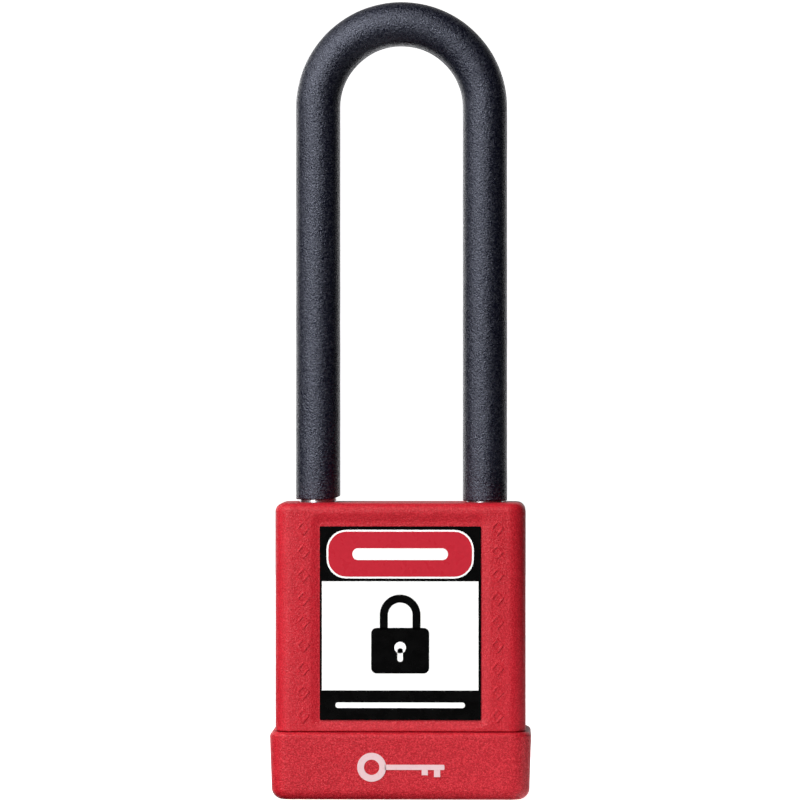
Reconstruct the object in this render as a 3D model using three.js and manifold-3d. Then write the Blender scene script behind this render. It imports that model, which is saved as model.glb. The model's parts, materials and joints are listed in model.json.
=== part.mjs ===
// Insulated safety padlock with a long sleeved shackle, a two-piece moulded cover round a solid alloy
// lock body, a six-pin cylinder and two locking bolts. Millimetres, +Z up, front face towards -Y.
// The origin is the centre of the flat underside of the bottom cap, which the padlock stands on.
// The shackle is pressed home and the cylinder is at its open position, with both bolts drawn: turning
// the cylinder a quarter turn throws the bolts into the shackle's notches.
import * as THREE from 'three';
import { mergeVertices } from 'three/addons/utils/BufferGeometryUtils.js';
import Module from 'manifold-3d';

const wasm = await Module();
wasm.setup();

// ---- Driving dimensions ----
const CLEAR_HEIGHT = 74.8; // inside the shackle, above the cover
const LEG_PITCH = 27.4; // between the axes of the two legs
const SLEEVE_D = 7.3;
const CORE_D = 6;
const COVER = { width: 40.75, depth: 20, top: 48.15, corner: 2.8, edge: 1.4, wall: 1.5 };
const CAP = { width: 42.6, depth: 21.9, height: 11, corner: 3.5, foot: 1.8, rim: 0.8, floor: 1.6 };
const CAP_DRAFT = 0.036; // sideways per millimetre of height below the rim
const FIT = 0.3; // gap between neighbouring pieces that only rest on each other
const RUNNING = 0.15; // gap between a moving piece and its bore
const LEG_PLAY = 0.2; // gap round the shackle's steel legs
const SEAT = 0.1; // gap at each end of a spring
const OVERCUT = 1; // how far a cutter runs past the face it cuts

// ---- Cover and cap ----
const COVER_FOOT = CAP.height + 0.25; // shoulder that sits over the cap's rim
const SKIRT = { width: 39, depth: 18.4, corner: 2, foot: 2.2 };
const CAVITY = { width: COVER.width - 2 * COVER.wall, depth: COVER.depth - 2 * COVER.wall, corner: 1.6 };
const LABEL = { width: 26.1, height: 31.4, z: 28.7, thick: 0.2, glue: 0.02 };
const PANEL = { width: 27.8, height: 33.6, z: 29, corner: 1.2, deep: 0.3 };
const STUD = { width: 2.2, height: 2.6, hollow: 0.58, proud: 0.12 };
const STUD_COLUMN = { x: 15.75, top: 44.1, pitch: 3.8, count: 9 };
const LATCH = { x: 11, width: 4, height: 1, z: 6.5, reach: 0.75, play: 0.4 };
const KEYHOLE = { r: 4.7, chamfer: 0.5 };

// ---- Lock body ----
const BODY = { width: 37, depth: 16.4, foot: 2, top: 46.2, corner: 1.3, edge: 0.4 };
const LEG_X = LEG_PITCH / 2;
const LEG_BORE_R = CORE_D / 2 + LEG_PLAY;
const ABOVE = COVER.top + 10; // a height clear of the cover
const BOLT_Z = 41.5;
const BOLT_TIP = LEG_X - CORE_D / 2 - LEG_PLAY;
const BOLT = { r: 2.8, noseR: 2.2, shoulder: 8, foot: 3.2, tongue: 2.7 };
const BOLT_BORE_R = BOLT.r + 0.2;
const CRANK = { r: 1, pinR: 0.6, angle: Math.PI / 4 };

// ---- Shackle ----
const BOW_Z = COVER.top + CLEAR_HEIGHT - (LEG_PITCH - SLEEVE_D) / 2;
const TOE_END = 36.8;
const HEEL_END = 14.5;
const TOE_ROOM = 0.6; // below the toe in its bore
const END_CHAMFER = { toe: 0.8, heel: 0.5 };
const NOTCH = { deep: 1.5, height: 2 * BOLT.noseR + 0.4 };
const NECK = { r: 1.6, foot: 18, top: 32.4, chamfer: 0.4 };
const SLEEVE_GAP = { toe: 0.45, heel: 0.2 }; // bare steel above the cover on each leg

// ---- Cylinder ----
const PLUG = { r: 5, foot: 2.1, top: 32, chamfer: 0.4, headR: 5.75, headTop: 3.4 };
const PLUG_BORE_R = PLUG.r + RUNNING;
const PLUG_GROOVE = { r: 3.9, z: 29, height: 2.2 };
const TANG = { width: 2.4, length: 7, height: 2.6 };
// The keyway's three steps, from the blade's edge to the pins.
const KEYWAY = [
  { x: [-1.3, 0.5], y: [-4.3, -2.2] },
  { x: [-0.5, 1], y: [-2.6, -0.2] },
  { x: [-1, 0.6], y: [-0.6, 3] },
];
const KEYWAY_END = 2; // above the last pin's axis
const DRIVER = { r: 4.9, foot: 32.3, top: 38.1, pinTop: 42 };
const DRIVER_CHAMBER_TOP = 39.5;
const STACK = { count: 6, first: 7, pitch: 3.7, pinR: 1.35, boreR: 1.5, plugDepth: 2.3, sides: 12 };
const KEY_PIN_LENGTHS = [4.6, 5.4, 3.8, 5, 3.4, 4.2];
const DRIVER_PIN_LENGTHS = [4.4, 3.8, 5, 4, 5.2, 4.6];
const PIN_CHAMFER = 0.2;
const KEY_PIN_TIP = { r: 0.5, height: 1 };
const SPOOL_PINS = [2, 5]; // waisted driver pins
const SPOOL = { waist: 0.4, land: 0.9, slope: 0.3 };
const KEY_PIN_HEAD = 4.8; // from the cylinder's axis
const DRIVER_PIN_FOOT = 5.2;
const CHAMBER_PLUG = { inner: 17, outer: 18.4 };

// ---- Retaining pins ----
const PLUG_PIN = { r: 0.9, x: PLUG_GROOVE.r + RUNNING + 0.9, z: PLUG_GROOVE.z };
const HEEL_PIN = { r: 1, x: LEG_X - NECK.r - RUNNING - 1, z: 31.1 };
const PIN_LENGTH = 15.8;

// ---- Springs ----
const SHACKLE_SPRING = { r: 2.3, wire: 0.35, foot: 4.1, turns: 9, steps: 10, sides: 5 };
const PIN_SPRING = { r: 1.05, wire: 0.17, turns: 5, steps: 7, sides: 4 };

// ---- Facets ----
const CORNER_STEPS = 5; // round one corner of a block
const EDGE_STEPS = 4; // over one rounded edge of a block
const SHACKLE_SIDES = 20; // round the shackle's bar
const BOW_STEPS = 18; // along the shackle's bow

const material = {
  cover: new THREE.MeshStandardMaterial({ color: 0xc9313f, roughness: 0.55, metalness: 0 }),
  nylon: new THREE.MeshStandardMaterial({ color: 0x1c1d22, roughness: 0.6, metalness: 0 }),
  label: new THREE.MeshStandardMaterial({ color: 0xf4f4f2, roughness: 0.35, metalness: 0 }),
  alloy: new THREE.MeshStandardMaterial({ color: 0xb9bcc0, roughness: 0.4, metalness: 1 }),
  steel: new THREE.MeshStandardMaterial({ color: 0x9a9da2, roughness: 0.3, metalness: 1 }),
  spring: new THREE.MeshStandardMaterial({ color: 0x83868c, roughness: 0.35, metalness: 1 }),
  brass: new THREE.MeshStandardMaterial({ color: 0xc9a44c, roughness: 0.35, metalness: 1 }),
};

// ---- Solids ----

// A closed geometry as a solid that can be joined and cut.
function solid(geometry) {
  const bare = geometry.clone();
  bare.deleteAttribute('normal');
  bare.deleteAttribute('uv');
  const merged = mergeVertices(bare, 1e-4);
  return new wasm.Manifold(new wasm.Mesh({
    numProp: 3,
    vertProperties: merged.attributes.position.array,
    triVerts: new Uint32Array(merged.index.array),
  }));
}

// A solid as a geometry again.
function geometryOf(body) {
  const data = body.getMesh();
  const points = new THREE.BufferAttribute(new Float32Array(data.vertProperties), 3);
  const geometry = new THREE.BufferGeometry();
  geometry.setAttribute('position', points);
  geometry.setIndex(new THREE.BufferAttribute(new Uint32Array(data.triVerts), 1));
  geometry.computeVertexNormals();
  return geometry;
}

function subtractAll(body, cuts) {
  return cuts.reduce((left, cut) => left.subtract(cut), body);
}

function addAll(bodies) {
  return bodies.reduce((joined, body) => joined.add(body));
}

// A box between two corners.
function box(x0, y0, z0, x1, y1, z1) {
  const geometry = new THREE.BoxGeometry(x1 - x0, y1 - y0, z1 - z0);
  return solid(geometry.translate((x0 + x1) / 2, (y0 + y1) / 2, (z0 + z1) / 2));
}

// A round bar along Z, Y or X from low to high, centred on the two other coordinates.
function bar(axis, radius, low, high, a, b, sides = 24) {
  const geometry = new THREE.CylinderGeometry(radius, radius, high - low, sides);
  const middle = (low + high) / 2;
  if (axis === 'z') return solid(geometry.rotateX(Math.PI / 2).translate(a, b, middle));
  if (axis === 'y') return solid(geometry.translate(a, middle, b));
  return solid(geometry.rotateZ(Math.PI / 2).translate(middle, a, b));
}

// A solid of revolution about Z from a profile of [radius, z] points, listed from the top down.
function turned(profile, sides = 24) {
  const points = profile.map(([radius, z]) => new THREE.Vector2(radius, z)).reverse();
  return solid(new THREE.LatheGeometry(points, sides).rotateX(Math.PI / 2));
}

function roundedRectangle(width, height, corner) {
  const shape = new THREE.Shape();
  const x = width / 2 - corner;
  const y = height / 2 - corner;
  shape.absarc(x, y, corner, 0, Math.PI / 2);
  shape.absarc(-x, y, corner, Math.PI / 2, Math.PI);
  shape.absarc(-x, -y, corner, Math.PI, 1.5 * Math.PI);
  shape.absarc(x, -y, corner, 1.5 * Math.PI, 2 * Math.PI);
  shape.closePath();
  return shape;
}

// The corner points of a rounded rectangle, anticlockwise.
function outlinePoints(width, depth, corner) {
  const points = [];
  for (let quarter = 0; quarter < 4; quarter += 1) {
    const x = (width / 2 - corner) * (quarter % 3 === 0 ? 1 : -1);
    const y = (depth / 2 - corner) * (quarter < 2 ? 1 : -1);
    for (let step = 0; step <= CORNER_STEPS; step += 1) {
      const angle = ((quarter + step / CORNER_STEPS) * Math.PI) / 2;
      points.push([x + corner * Math.cos(angle), y + corner * Math.sin(angle)]);
    }
  }
  return points;
}

// A closed skin over a stack of rounded rectangles, listed from the foot up.
function lofted(sections) {
  const rings = sections.map(({ width, depth, corner }) => outlinePoints(width, depth, corner));
  const around = rings[0].length;
  const last = rings.length - 1;
  const positions = rings.flatMap((ring, level) => ring.flatMap(([x, y]) => [x, y, sections[level].z]));
  positions.push(0, 0, sections[0].z, 0, 0, sections[last].z);
  const footCentre = rings.length * around;
  const topCentre = footCentre + 1;
  const faces = [];
  for (let i = 0; i < around; i += 1) {
    const next = (i + 1) % around;
    faces.push(footCentre, next, i, topCentre, last * around + i, last * around + next);
    for (let level = 0; level < last; level += 1) {
      const low = level * around;
      const high = low + around;
      faces.push(low + i, low + next, high + next, low + i, high + next, high + i);
    }
  }
  const geometry = new THREE.BufferGeometry();
  geometry.setAttribute('position', new THREE.Float32BufferAttribute(positions, 3));
  geometry.setIndex(faces);
  return geometry;
}

// The steps of a quarter-round edge, as [inwards, upwards] pairs from the side face to the end face.
function edgeSteps(radius) {
  const steps = radius > 0 ? EDGE_STEPS : 0;
  return Array.from({ length: steps + 1 }, (_, step) => {
    const angle = steps > 0 ? (step / steps) * (Math.PI / 2) : 0;
    return [radius * (1 - Math.cos(angle)), radius * Math.sin(angle)];
  });
}

// An upright block with rounded corners, optionally rounded edges, and sides drafted in towards its foot.
function roundedBlock({ width, depth, corner }, low, high, { foot = 0, top = 0, draft = 0 } = {}) {
  const footLevels = edgeSteps(foot).map(([inset, rise]) => [inset, low + foot - rise]).reverse();
  const topLevels = edgeSteps(top).map(([inset, rise]) => [inset, high - top + rise]);
  return solid(lofted([...footLevels, ...topLevels].map(([inset, z]) => {
    const trim = 2 * (inset + draft * (high - z));
    return { z, width: width - trim, depth: depth - trim, corner: corner - inset };
  })));
}

// ---- Case: cover, cap, labels ----

function lozengePoints(scale) {
  const x = (scale * STUD.width) / 2;
  const y = (scale * STUD.height) / 2;
  return [[x, 0], [0, y], [-x, 0], [0, -y]].map((point) => new THREE.Vector2(...point));
}

// A column of open lozenge studs beside the label panel, standing proud of the front face.
function gripStuds(side) {
  const outline = new THREE.Shape(lozengePoints(1));
  outline.holes.push(new THREE.Path(lozengePoints(STUD.hollow)));
  const studs = [];
  const { x, top, pitch, count } = STUD_COLUMN;
  for (let i = 0; i < count; i += 1) {
    const stud = new THREE.ExtrudeGeometry(outline, { depth: 2 * STUD.proud, bevelEnabled: false });
    stud.rotateX(Math.PI / 2);
    stud.translate(side * x, -COVER.depth / 2 + STUD.proud, top - i * pitch);
    studs.push(solid(stud));
  }
  return studs;
}

// The shallow panel that a label lies in, on the front or, with side = 1, on the back.
function labelPanel(side) {
  const shape = roundedRectangle(PANEL.width, PANEL.height, PANEL.corner);
  const cutter = new THREE.ExtrudeGeometry(shape, { depth: 2, bevelEnabled: false, curveSegments: 4 });
  cutter.rotateX(Math.PI / 2);
  const inner = side * (COVER.depth / 2 - PANEL.deep);
  return solid(cutter.translate(0, side < 0 ? inner : inner + 2, PANEL.z));
}

function latchPositions() {
  const found = [];
  for (const x of [-LATCH.x, LATCH.x]) for (const side of [-1, 1]) found.push({ x, side });
  return found;
}

// A latch's box, between two distances from the middle plane, with play all round.
function latchBox({ x, side }, inner, outer, play) {
  const [front, back] = [side * inner, side * outer].sort((a, b) => a - b);
  const halfWidth = LATCH.width / 2 + play;
  const halfHeight = LATCH.height / 2 + play;
  return box(x - halfWidth, front, LATCH.z - halfHeight, x + halfWidth, back, LATCH.z + halfHeight);
}

function coverSolid() {
  const hood = roundedBlock(COVER, COVER_FOOT, COVER.top, { top: COVER.edge });
  const skirt = roundedBlock(SKIRT, SKIRT.foot, COVER_FOOT + OVERCUT);
  const cavity = roundedBlock(CAVITY, 0, COVER.top - COVER.wall);
  const shell = addAll([hood, skirt, ...gripStuds(-1), ...gripStuds(1)]);
  const roof = COVER.top - COVER.wall - OVERCUT;
  const legHoles = [-LEG_X, LEG_X].map((x) => bar('z', LEG_BORE_R, roof, ABOVE, x, 0));
  const inner = CAVITY.depth / 2 - OVERCUT;
  const outer = SKIRT.depth / 2 + FIT;
  const windows = latchPositions().map((latch) => latchBox(latch, inner, outer, LATCH.play));
  return subtractAll(shell, [cavity, labelPanel(-1), labelPanel(1), ...legHoles, ...windows]);
}

function capSolid() {
  const block = roundedBlock(CAP, 0, CAP.height, { foot: CAP.foot, top: CAP.rim, draft: CAP_DRAFT });
  const hollow = { width: SKIRT.width + 2 * FIT, depth: SKIRT.depth + 2 * FIT, corner: SKIRT.corner + FIT };
  const inside = roundedBlock(hollow, CAP.floor, 2 * CAP.height);
  const keyhole = bar('z', KEYHOLE.r, -OVERCUT, CAP.floor + OVERCUT, 0, 0, 32);
  const { r, chamfer } = KEYHOLE;
  const mouth = turned([[0, chamfer], [r, chamfer], [r + 2 * chamfer, -chamfer], [0, -chamfer]], 32);
  const tray = subtractAll(block, [inside, keyhole, mouth]);
  const wall = hollow.depth / 2;
  const lugs = latchPositions().map((latch) => latchBox(latch, wall - LATCH.reach, wall + FIT, 0));
  return addAll([tray, ...lugs]);
}

function labelSolid() {
  const half = LABEL.height / 2;
  return box(-LABEL.width / 2, -LABEL.thick / 2, -half, LABEL.width / 2, LABEL.thick / 2, half);
}

// ---- Lock body ----

function stackHeight(index) {
  return STACK.first + index * STACK.pitch;
}

function lockBodySolid() {
  const block = roundedBlock(BODY, BODY.foot, BODY.top, { foot: BODY.edge, top: BODY.edge });
  const left = -BODY.width / 2 - OVERCUT;
  const back = BODY.depth / 2 + OVERCUT;
  const headBore = PLUG.headR + RUNNING;
  const cuts = [
    bar('z', LEG_BORE_R, TOE_END - TOE_ROOM, ABOVE, -LEG_X, 0),
    bar('z', LEG_BORE_R, SHACKLE_SPRING.foot - SEAT, ABOVE, LEG_X, 0),
    bar('z', PLUG_BORE_R, 0, DRIVER_CHAMBER_TOP, 0, 0, 32),
    bar('z', headBore, 0, PLUG.headTop + RUNNING, 0, 0, 32),
    bar('x', BOLT_BORE_R, left, LEG_X, 0, BOLT_Z),
    bar('y', PLUG_PIN.r + RUNNING, -back, back, PLUG_PIN.x, PLUG_PIN.z, 12),
    bar('y', HEEL_PIN.r + RUNNING, -back, back, HEEL_PIN.x, HEEL_PIN.z, 12),
  ];
  for (let i = 0; i < STACK.count; i += 1) {
    cuts.push(bar('x', STACK.boreR, left, 0, 0, stackHeight(i), STACK.sides));
  }
  return subtractAll(block, cuts);
}

// A plug that closes the mouth of a bore in the left edge of the lock body.
function borePlug(radius, sides) {
  return bar('x', radius, -CHAMBER_PLUG.outer, -CHAMBER_PLUG.inner, 0, 0, sides);
}

// ---- Shackle ----

// A bar bent into the shackle's shape, with its legs cut off at the heights toe and heel.
function bentBar(radius, toe, heel) {
  const ring = new THREE.TorusGeometry(LEG_X, radius, SHACKLE_SIDES, 2 * BOW_STEPS).rotateX(Math.PI / 2);
  const reach = LEG_X + radius + OVERCUT;
  const bow = solid(ring.translate(0, 0, BOW_Z)).intersect(
    box(-reach, -reach, BOW_Z, reach, reach, BOW_Z + reach),
  );
  const overlap = 0.02;
  const toeLeg = bar('z', radius, toe, BOW_Z + overlap, -LEG_X, 0, SHACKLE_SIDES);
  const heelLeg = bar('z', radius, heel, BOW_Z + overlap, LEG_X, 0, SHACKLE_SIDES);
  return addAll([bow, toeLeg, heelLeg]);
}

// A ring that turns the end of a leg down to a chamfer.
function endChamfer(x, z, size) {
  const radius = CORE_D / 2;
  const ring = turned([
    [radius - size, z - OVERCUT],
    [radius - size, z],
    [radius, z + size],
    [radius + OVERCUT, z + size],
    [radius + OVERCUT, z - OVERCUT],
    [radius - size, z - OVERCUT],
  ], SHACKLE_SIDES);
  return ring.translate([x, 0, 0]);
}

// A slot milled across the inside of one leg, the toe's with side = -1.
function notchBox(side) {
  const inside = LEG_X - CORE_D / 2;
  const [left, right] = [side * (inside - OVERCUT), side * (inside + NOTCH.deep)].sort((a, b) => a - b);
  const half = NOTCH.height / 2;
  return box(left, -CORE_D, BOLT_Z - half, right, CORE_D, BOLT_Z + half);
}

function shackleSolid() {
  const neck = turned([
    [NECK.r, NECK.foot],
    [NECK.r, NECK.top - NECK.chamfer],
    [NECK.r + NECK.chamfer, NECK.top],
    [CORE_D, NECK.top],
    [CORE_D, NECK.foot],
    [NECK.r, NECK.foot],
  ], SHACKLE_SIDES);
  return subtractAll(bentBar(CORE_D / 2, TOE_END, HEEL_END), [
    notchBox(-1),
    notchBox(1),
    neck.translate([LEG_X, 0, 0]),
    endChamfer(-LEG_X, TOE_END, END_CHAMFER.toe),
    endChamfer(LEG_X, HEEL_END, END_CHAMFER.heel),
  ]);
}

function sleeveSolid() {
  const outer = bentBar(SLEEVE_D / 2, COVER.top + SLEEVE_GAP.toe, COVER.top + SLEEVE_GAP.heel);
  return outer.subtract(bentBar(CORE_D / 2 + LEG_PLAY / 2, TOE_END, HEEL_END));
}

// ---- Bolts and their crank ----

// The left bolt: a nosed round bar whose foot is milled to a half-round tongue, forked over a crank pin.
function boltSolid() {
  const nose = bar('x', BOLT.noseR, -BOLT_TIP, -BOLT.shoulder, 0, 0);
  const barrel = bar('x', BOLT.r, -BOLT.shoulder, BOLT.tongue, 0, 0);
  const pinX = CRANK.r * Math.cos(CRANK.angle);
  const forkHalf = CRANK.pinR + RUNNING;
  const forkEnd = CRANK.r + CRANK.pinR + RUNNING;
  const clear = 2 * BOLT.r;
  const halfCut = box(-BOLT.foot, -clear, -clear, clear, RUNNING, clear);
  const fork = box(pinX - forkHalf, -1, -clear, pinX + forkHalf, forkEnd, DRIVER.pinTop - BOLT_Z + FIT);
  return subtractAll(nose.add(barrel), [halfCut, fork]);
}

// The turned driver that the cylinder's tang carries round, with two crank pins on its top face.
function driverSolid() {
  const body = bar('z', DRIVER.r, DRIVER.foot, DRIVER.top, 0, 0, 32);
  const pins = [0, Math.PI].map((turn) => {
    const x = CRANK.r * Math.cos(CRANK.angle + turn);
    const y = CRANK.r * Math.sin(CRANK.angle + turn);
    return bar('z', CRANK.pinR, DRIVER.top - OVERCUT, DRIVER.pinTop, x, y, 12);
  });
  const halfSlot = TANG.width / 2 + FIT;
  const past = DRIVER.r + OVERCUT;
  const slot = box(-halfSlot, -past, DRIVER.foot - OVERCUT, halfSlot, past, PLUG.top + TANG.height + FIT);
  return addAll([body, ...pins]).subtract(slot);
}

// ---- Cylinder ----

// The plug stands with its pin holes towards +Y and its keyway open below.
function plugSolid() {
  const grooveLow = PLUG_GROOVE.z - PLUG_GROOVE.height / 2;
  const grooveHigh = PLUG_GROOVE.z + PLUG_GROOVE.height / 2;
  const round = turned([
    [0, PLUG.top],
    [PLUG.r - PLUG.chamfer, PLUG.top],
    [PLUG.r, PLUG.top - PLUG.chamfer],
    [PLUG.r, grooveHigh],
    [PLUG_GROOVE.r, grooveHigh],
    [PLUG_GROOVE.r, grooveLow],
    [PLUG.r, grooveLow],
    [PLUG.r, PLUG.headTop],
    [PLUG.headR, PLUG.headTop],
    [PLUG.headR, PLUG.foot],
    [0, PLUG.foot],
  ], 32);
  const tang = box(
    -TANG.width / 2, -TANG.length / 2, PLUG.top - OVERCUT,
    TANG.width / 2, TANG.length / 2, PLUG.top + TANG.height,
  );
  const keywayTop = stackHeight(STACK.count - 1) + KEYWAY_END;
  const keyway = KEYWAY.map(({ x, y }) => box(x[0], y[0], 0, x[1], y[1], keywayTop));
  const holes = [];
  for (let i = 0; i < STACK.count; i += 1) {
    holes.push(bar('y', STACK.boreR, -STACK.plugDepth, PLUG.r + OVERCUT, 0, stackHeight(i), STACK.sides));
  }
  return subtractAll(round.add(tang), [...keyway, ...holes]);
}

// A key pin standing on its pointed tip, from z = 0 up.
function keyPinSolid(length) {
  const { pinR, sides } = STACK;
  return turned([
    [0, length],
    [pinR - PIN_CHAMFER, length],
    [pinR, length - PIN_CHAMFER],
    [pinR, KEY_PIN_TIP.height],
    [KEY_PIN_TIP.r, 0],
    [0, 0],
  ], sides);
}

// A driver pin from z = 0 up, waisted between its two lands if it is a spool pin.
function driverPinSolid(length, spool) {
  const { pinR, sides } = STACK;
  const { waist, land, slope } = SPOOL;
  const middle = [
    [pinR, length - land],
    [pinR - waist, length - land - slope],
    [pinR - waist, land + slope],
    [pinR, land],
  ];
  return turned([
    [0, length],
    [pinR - PIN_CHAMFER, length],
    [pinR, length - PIN_CHAMFER],
    ...(spool ? middle : []),
    [pinR, PIN_CHAMFER],
    [pinR - PIN_CHAMFER, 0],
    [0, 0],
  ], sides);
}

// ---- Springs ----

// The centreline of a compression spring along Z, with one closed turn at each end.
class Coil extends THREE.Curve {
  constructor(spring, length) {
    super();
    this.spring = spring;
    this.length = length;
  }

  height(turn) {
    const { wire, turns } = this.spring;
    const closed = 2.3 * wire;
    const open = (this.length - 2 * wire - 2 * closed) / (turns - 2);
    if (turn < 1) return wire + closed * turn;
    if (turn > turns - 1) return this.length - wire - closed * (turns - turn);
    return wire + closed + open * (turn - 1);
  }

  getPoint(t, target = new THREE.Vector3()) {
    const turn = t * this.spring.turns;
    const angle = turn * 2 * Math.PI;
    const { r } = this.spring;
    return target.set(r * Math.cos(angle), r * Math.sin(angle), this.height(turn));
  }
}

function springSolid(spring, length) {
  const { wire, sides, turns, steps } = spring;
  const corners = Array.from({ length: sides }, (_, i) => {
    const angle = (2 * Math.PI * i) / sides;
    return new THREE.Vector2(wire * Math.cos(angle), wire * Math.sin(angle));
  });
  return solid(new THREE.ExtrudeGeometry(new THREE.Shape(corners), {
    steps: turns * steps,
    extrudePath: new Coil(spring, length),
  }));
}

// ---- Assembly ----

// A named piece, placed in its group.
function piece(group, name, body, look, position = [0, 0, 0], rotation = [0, 0, 0]) {
  const mesh = new THREE.Mesh(geometryOf(body), look);
  mesh.name = name;
  mesh.position.set(...position);
  mesh.rotation.set(...rotation);
  group.add(mesh);
  return mesh;
}

function caseGroup() {
  const group = new THREE.Group();
  const labelY = COVER.depth / 2 - PANEL.deep + LABEL.glue + LABEL.thick / 2;
  piece(group, 'body_cover', coverSolid(), material.cover);
  piece(group, 'bottom_cap', capSolid(), material.cover);
  piece(group, 'label_front', labelSolid(), material.label, [0, -labelY, LABEL.z]);
  piece(group, 'label_back', labelSolid(), material.label, [0, labelY, LABEL.z]);
  piece(group, 'lock_body', lockBodySolid(), material.alloy);
  const plugPin = bar('y', PLUG_PIN.r, -PIN_LENGTH / 2, PIN_LENGTH / 2, 0, 0, 12);
  const heelPin = bar('y', HEEL_PIN.r, -PIN_LENGTH / 2, PIN_LENGTH / 2, 0, 0, 12);
  piece(group, 'plug_retaining_pin', plugPin, material.steel, [PLUG_PIN.x, 0, PLUG_PIN.z]);
  piece(group, 'heel_retaining_pin', heelPin, material.steel, [HEEL_PIN.x, 0, HEEL_PIN.z]);
  piece(group, 'cross_bore_plug', borePlug(BOLT_BORE_R - RUNNING, 24), material.alloy, [0, 0, BOLT_Z]);
  const springLength = HEEL_END - SEAT - SHACKLE_SPRING.foot;
  const coil = springSolid(SHACKLE_SPRING, springLength);
  piece(group, 'shackle_spring', coil, material.spring, [LEG_X, 0, SHACKLE_SPRING.foot]);
  return group;
}

// Driver pins lie in chambers along -X, each with its spring and its chamber plug outside it.
function stackGroup() {
  const group = new THREE.Group();
  const alongMinusX = [0, -Math.PI / 2, 0];
  DRIVER_PIN_LENGTHS.forEach((length, i) => {
    const z = stackHeight(i);
    const springFoot = DRIVER_PIN_FOOT + length + SEAT;
    const springLength = CHAMBER_PLUG.inner - SEAT - springFoot;
    const pin = driverPinSolid(length, SPOOL_PINS.includes(i + 1));
    const coil = springSolid(PIN_SPRING, springLength);
    piece(group, `driver_pin_${i + 1}`, pin, material.brass, [-DRIVER_PIN_FOOT, 0, z], alongMinusX);
    piece(group, `pin_spring_${i + 1}`, coil, material.spring, [-springFoot, 0, z], alongMinusX);
    piece(group, `chamber_plug_${i + 1}`, borePlug(STACK.pinR, STACK.sides), material.alloy, [0, 0, z]);
  });
  return group;
}

function cylinderGroup() {
  const group = new THREE.Group();
  piece(group, 'cylinder_plug', plugSolid(), material.brass);
  piece(group, 'bolt_driver', driverSolid(), material.steel);
  const alongPlusY = [-Math.PI / 2, 0, 0];
  KEY_PIN_LENGTHS.forEach((length, i) => {
    const tip = [0, KEY_PIN_HEAD - length, stackHeight(i)];
    piece(group, `key_pin_${i + 1}`, keyPinSolid(length), material.brass, tip, alongPlusY);
  });
  return group;
}

function boltGroup() {
  const group = new THREE.Group();
  piece(group, 'bolt_left', boltSolid(), material.steel, [0, 0, BOLT_Z]);
  piece(group, 'bolt_right', boltSolid(), material.steel, [0, 0, BOLT_Z], [0, 0, Math.PI]);
  return group;
}

function shackleGroup() {
  const group = new THREE.Group();
  piece(group, 'shackle', shackleSolid(), material.steel);
  piece(group, 'shackle_sleeve', sleeveSolid(), material.nylon);
  return group;
}

const padlock = new THREE.Group();
padlock.add(caseGroup(), stackGroup(), cylinderGroup(), boltGroup(), shackleGroup());

export default padlock;
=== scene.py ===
"""The looks of a safety padlock with a long insulated shackle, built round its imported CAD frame.

Sizes and shapes are worked out in millimetres, and a mesh is scaled to metres when it becomes a piece.
The front faces -Y, the toe leg of the shackle is at -X and the heel leg at +X.
"""
import json
import math

import bmesh
import bpy
from mathutils import Matrix, Vector, noise


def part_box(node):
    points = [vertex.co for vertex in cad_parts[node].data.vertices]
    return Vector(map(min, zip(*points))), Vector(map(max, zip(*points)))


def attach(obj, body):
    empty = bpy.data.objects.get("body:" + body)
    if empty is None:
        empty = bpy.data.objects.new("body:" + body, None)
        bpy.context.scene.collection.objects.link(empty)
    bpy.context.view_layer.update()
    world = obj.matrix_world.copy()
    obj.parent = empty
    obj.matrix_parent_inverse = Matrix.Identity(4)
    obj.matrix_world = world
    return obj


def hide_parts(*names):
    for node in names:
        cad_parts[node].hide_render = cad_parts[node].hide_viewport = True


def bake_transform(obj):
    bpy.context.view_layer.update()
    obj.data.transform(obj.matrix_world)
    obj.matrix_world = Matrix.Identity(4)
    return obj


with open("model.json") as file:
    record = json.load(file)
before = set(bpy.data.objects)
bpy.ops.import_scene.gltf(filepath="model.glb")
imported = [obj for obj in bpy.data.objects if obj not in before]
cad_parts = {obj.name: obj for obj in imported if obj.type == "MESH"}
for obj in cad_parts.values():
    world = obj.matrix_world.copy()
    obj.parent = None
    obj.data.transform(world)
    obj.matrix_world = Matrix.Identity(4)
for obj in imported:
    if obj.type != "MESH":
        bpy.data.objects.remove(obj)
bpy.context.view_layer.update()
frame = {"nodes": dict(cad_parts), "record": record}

MM = 0.001


def extent(node):
    """The lowest and highest corners of a CAD node, in millimetres."""
    low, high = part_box(node)
    return low / MM, high / MM


# ---- Sizes, in millimetres ----
COVER_LOW, COVER_HIGH = extent("body_cover")
CAP_HIGH = extent("bottom_cap")[1]
SLEEVE_LOW, SLEEVE_HIGH = extent("shackle_sleeve")
STEEL_LOW, STEEL_HIGH = extent("shackle")
LABEL_LOW, LABEL_HIGH = extent("label_front")
PLUG_LOW, PLUG_HIGH = extent("cylinder_plug")

COVER = {"width": 2 * COVER_HIGH.x, "depth": 2 * COVER_HIGH.y, "corner": 2.8}
COVER_EDGE = 1.4
COVER_WALL = 1.5
SKIRT_INSET = 0.875
SHOULDER = CAP_HIGH.z + 0.12
LEG_CLEARANCE = 0.25

PANEL = {"width": 27.8, "depth": 33.6, "corner": 1.2}
PANEL_FLOOR = COVER_HIGH.y - 0.3
PANEL_Z = 29.0
PANEL_SLOPE = 1.3
PANEL_BROW = 2.2
PANEL_ROOT = 1.6

STUD = {"half_width": 1.1, "half_height": 1.3, "proud": 0.12, "corner": 0.18}
STUD_X = 15.75
STUD_TOP = 44.1
STUD_PITCH = 3.8
STUD_COUNT = 9

LATCH_X = 11.0
LATCH_Z = 6.5
WINDOW = {"width": 4.8, "height": 1.8}
LUG = {"width": 4.0, "height": 1.0, "reach": 0.75}

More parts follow.
